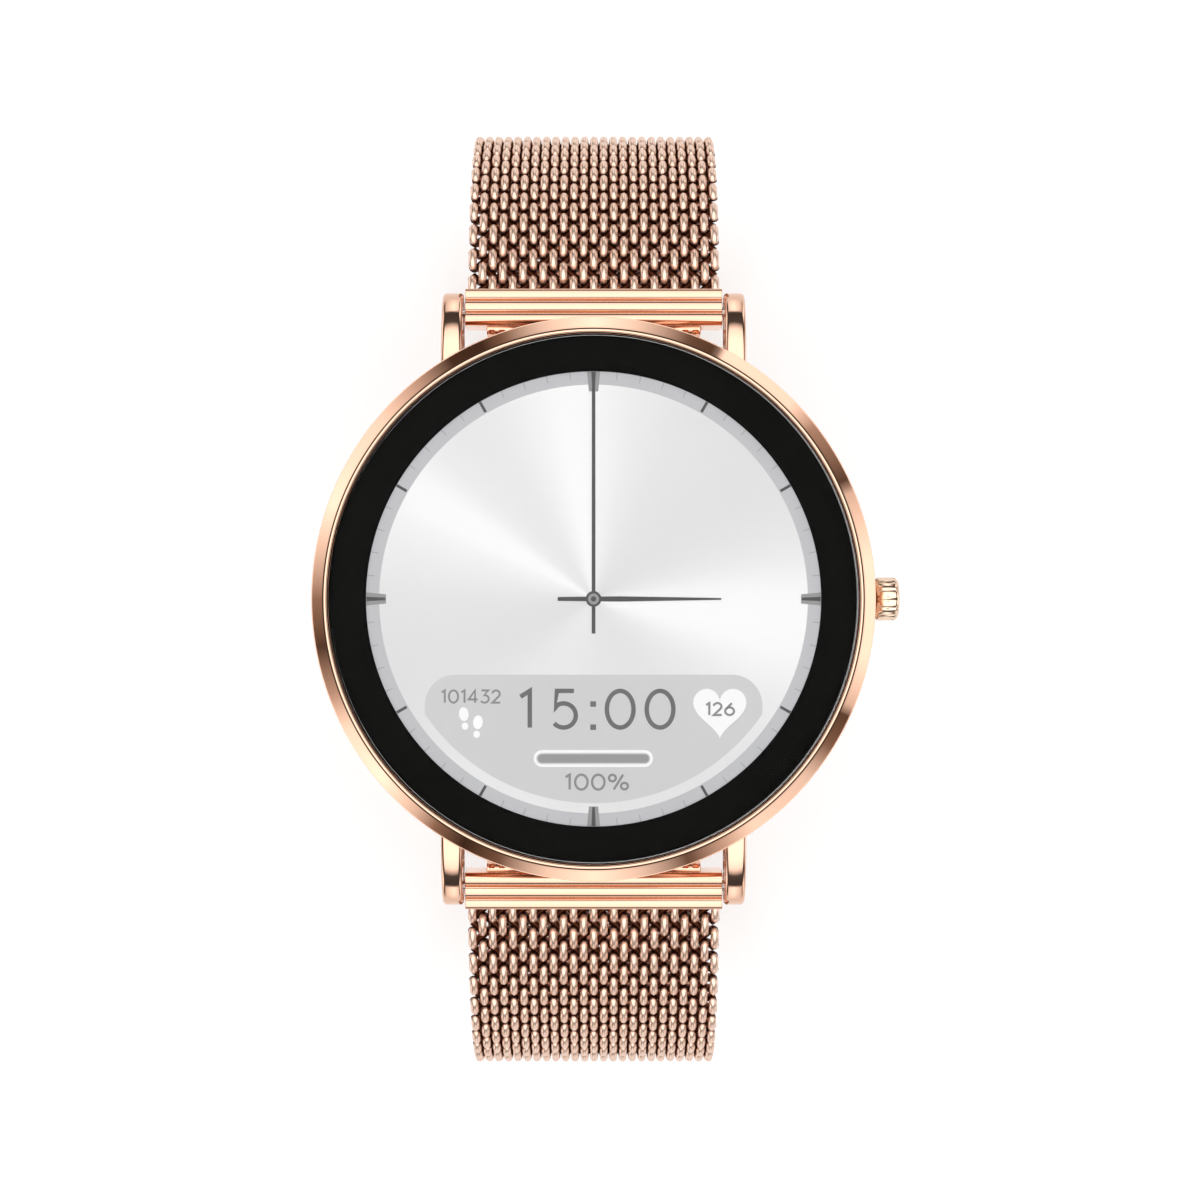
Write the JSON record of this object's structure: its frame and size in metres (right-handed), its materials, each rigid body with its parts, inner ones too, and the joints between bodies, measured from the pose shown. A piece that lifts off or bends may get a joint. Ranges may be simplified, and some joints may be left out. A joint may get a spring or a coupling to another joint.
{
  "type": "smartwatch",
  "caption": "Round smartwatch with a domed bezel, side crown, touch display and woven-mesh metal bracelet with a folding slide clasp.",
  "frame": {"origin": "middle of the sensor window's flat face, the point of the head that rests on the wrist", "axes": "+Z out of the cover glass, +Y towards 12 o'clock, +X towards 3 o'clock and the crown"},
  "size_m": [0.045, 0.0774, 0.0552],
  "materials": {
    "rose_gold_steel": "rose gold plated stainless steel, polished and brushed",
    "rose_gold_mesh": "rose gold plated woven steel wire, rolled flat and polished",
    "cover_glass": "clear hardened glass with ground edge",
    "sensor_window": "dark infrared-clear plastic, polished",
    "display": "lit display panel",
    "black_plastic": "black",
    "steel": "turned stainless steel",
    "circuit_board": "green solder mask",
    "cell_foil": "pouch cell foil",
    "flex_circuit": "amber film",
    "gold_contact": "gold plated",
    "seal_rubber": "moulded"
  },
  "bodies": {
    "head": {"case_body": "rose_gold_steel", "bezel_ring": "rose_gold_steel", "cover_glass": "cover_glass", "glass_tape": "black_plastic", "display_panel": "display", "display_bracket": "steel", "display_flex": "flex_circuit", "main_board": "circuit_board", "inner_frame": "black_plastic", "battery_cell": "cell_foil", "vibration_motor": "steel", "push_switch": "black_plastic", "back_gasket": "seal_rubber", "back_cover": "rose_gold_steel", "sensor_window": "sensor_window", "sensor_chip": "black_plastic", "sensor_board": "circuit_board", "charge_pin_1": "gold_contact", "charge_pin_2": "gold_contact", "case_screw_1": "steel", "case_screw_2": "steel", "case_screw_3": "steel", "case_screw_4": "steel", "crown_tube": "steel", "crown_seal": "seal_rubber"},
    "switch_plunger": {"switch_plunger": "steel"},
    "crown_slider": {"stem_clip": "steel"},
    "crown": {"crown_stem": "steel", "crown_cap": "rose_gold_steel"},
    "release_12": {"release_pin_12": "steel"},
    "strap_12_0": {"end_link_12": "rose_gold_steel", "bar_tube_12": "steel", "bar_tip_12": "steel", "mesh_12_0": "rose_gold_mesh"},
    "strap_12_1": {"mesh_12_1": "rose_gold_mesh"},
    "strap_12_2": {"mesh_12_2": "rose_gold_mesh"},
    "strap_12_3": {"mesh_12_3": "rose_gold_mesh"},
    "strap_12_4": {"mesh_12_4": "rose_gold_mesh"},
    "strap_12_5": {"mesh_12_5": "rose_gold_mesh", "end_clamp": "rose_gold_steel", "crossbar": "steel"},
    "release_6": {"release_pin_6": "steel"},
    "strap_6_0": {"end_link_6": "rose_gold_steel", "bar_tube_6": "steel", "bar_tip_6": "steel", "mesh_6_0": "rose_gold_mesh"},
    "strap_6_1": {"mesh_6_1": "rose_gold_mesh"},
    "strap_6_2": {"mesh_6_2": "rose_gold_mesh"},
    "strap_6_3": {"mesh_6_3": "rose_gold_mesh"},
    "strap_6_4": {"mesh_6_4": "rose_gold_mesh"},
    "strap_6_5": {"mesh_6_5": "rose_gold_mesh", "tail_cap": "rose_gold_steel"},
    "clasp": {"clasp_base": "rose_gold_steel", "cover_pin": "steel", "lever_pin": "steel"},
    "cover": {"clasp_cover": "rose_gold_steel"},
    "lever": {"lock_lever": "rose_gold_steel"}
  },
  "joints": [
    {"name": "crown_press", "type": "slide", "parent": "head", "child": "crown_slider", "axis": [-1, 0, 0], "range_m": [0, 0.0005], "stiffness_N_per_m": 600},
    {"name": "crown_turn", "type": "hinge", "parent": "crown_slider", "child": "crown", "pos_m": [0.0217, 0, 0.0046], "axis": [1, 0, 0], "continuous": true},
    {"name": "plunger_press", "type": "slide", "parent": "head", "child": "switch_plunger", "axis": [-1, 0, 0], "range_m": [0, 0.0005]},
    {"name": "release_pull_12", "type": "slide", "parent": "strap_12_0", "child": "release_12", "axis": [1, 0, 0], "range_m": [0, 0.001], "stiffness_N_per_m": 800},
    {"name": "strap_pivot_12", "type": "hinge", "parent": "head", "child": "strap_12_0", "pos_m": [0, 0.0223, 0.003], "axis": [1, 0, 0], "range_deg": [0, 60]},
    {"name": "flex_12_1", "type": "hinge", "parent": "strap_12_0", "child": "strap_12_1", "pos_m": [0, 0.02873, 0.00059], "axis": [1, 0, 0], "range_deg": [0, 30]},
    {"name": "flex_12_2", "type": "hinge", "parent": "strap_12_1", "child": "strap_12_2", "pos_m": [0, 0.03603, -0.00729], "axis": [1, 0, 0], "range_deg": [0, 30]},
    {"name": "flex_12_3", "type": "hinge", "parent": "strap_12_2", "child": "strap_12_3", "pos_m": [0, 0.03779, -0.0241], "axis": [1, 0, 0], "range_deg": [0, 30]},
    {"name": "flex_12_4", "type": "hinge", "parent": "strap_12_3", "child": "strap_12_4", "pos_m": [0, 0.03253, -0.03615], "axis": [1, 0, 0], "range_deg": [0, 30]},
    {"name": "flex_12_5", "type": "hinge", "parent": "strap_12_4", "child": "strap_12_5", "pos_m": [0, 0.02153, -0.04334], "axis": [1, 0, 0], "range_deg": [0, 30]},
    {"name": "release_pull_6", "type": "slide", "parent": "strap_6_0", "child": "release_6", "axis": [1, 0, 0], "range_m": [0, 0.001], "stiffness_N_per_m": 800},
    {"name": "strap_pivot_6", "type": "hinge", "parent": "head", "child": "strap_6_0", "pos_m": [0, -0.0223, 0.003], "axis": [-1, 0, 0], "range_deg": [0, 60]},
    {"name": "flex_6_1", "type": "hinge", "parent": "strap_6_0", "child": "strap_6_1", "pos_m": [0, -0.02873, 0.00059], "axis": [-1, 0, 0], "range_deg": [0, 30]},
    {"name": "flex_6_2", "type": "hinge", "parent": "strap_6_1", "child": "strap_6_2", "pos_m": [0, -0.03603, -0.00729], "axis": [-1, 0, 0], "range_deg": [0, 30]},
    {"name": "flex_6_3", "type": "hinge", "parent": "strap_6_2", "child": "strap_6_3", "pos_m": [0, -0.03779, -0.0225], "axis": [-1, 0, 0], "range_deg": [0, 30]},
    {"name": "flex_6_4", "type": "hinge", "parent": "strap_6_3", "child": "strap_6_4", "pos_m": [0, -0.03253, -0.03455], "axis": [-1, 0, 0], "range_deg": [0, 30]},
    {"name": "flex_6_5", "type": "hinge", "parent": "strap_6_4", "child": "strap_6_5", "pos_m": [0, -0.02153, -0.04174], "axis": [-1, 0, 0], "range_deg": [0, 30]},
    {"name": "clasp_slide", "type": "slide", "parent": "strap_6_5", "child": "clasp", "axis": [0, -1, 0], "range_m": [0, 0.004]},
    {"name": "cover_hinge", "type": "hinge", "parent": "clasp", "child": "cover", "pos_m": [0, -0.0081, -0.0446], "axis": [-1, 0, 0], "range_deg": [0, 95]},
    {"name": "lever_hinge", "type": "hinge", "parent": "clasp", "child": "lever", "pos_m": [0, -0.0064, -0.04108], "axis": [1, 0, 0], "range_deg": [0, 75]}
  ],
  "couplings": [
    {"joint": "plunger_press", "follows": "crown_press", "ratio": 0.84},
    {"joint": "flex_12_2", "follows": "flex_12_1", "ratio": 1},
    {"joint": "flex_12_3", "follows": "flex_12_1", "ratio": 1},
    {"joint": "flex_12_4", "follows": "flex_12_1", "ratio": 1},
    {"joint": "flex_12_5", "follows": "flex_12_1", "ratio": 1},
    {"joint": "flex_6_2", "follows": "flex_6_1", "ratio": 1},
    {"joint": "flex_6_3", "follows": "flex_6_1", "ratio": 1},
    {"joint": "flex_6_4", "follows": "flex_6_1", "ratio": 1},
    {"joint": "flex_6_5", "follows": "flex_6_1", "ratio": 1}
  ]
}
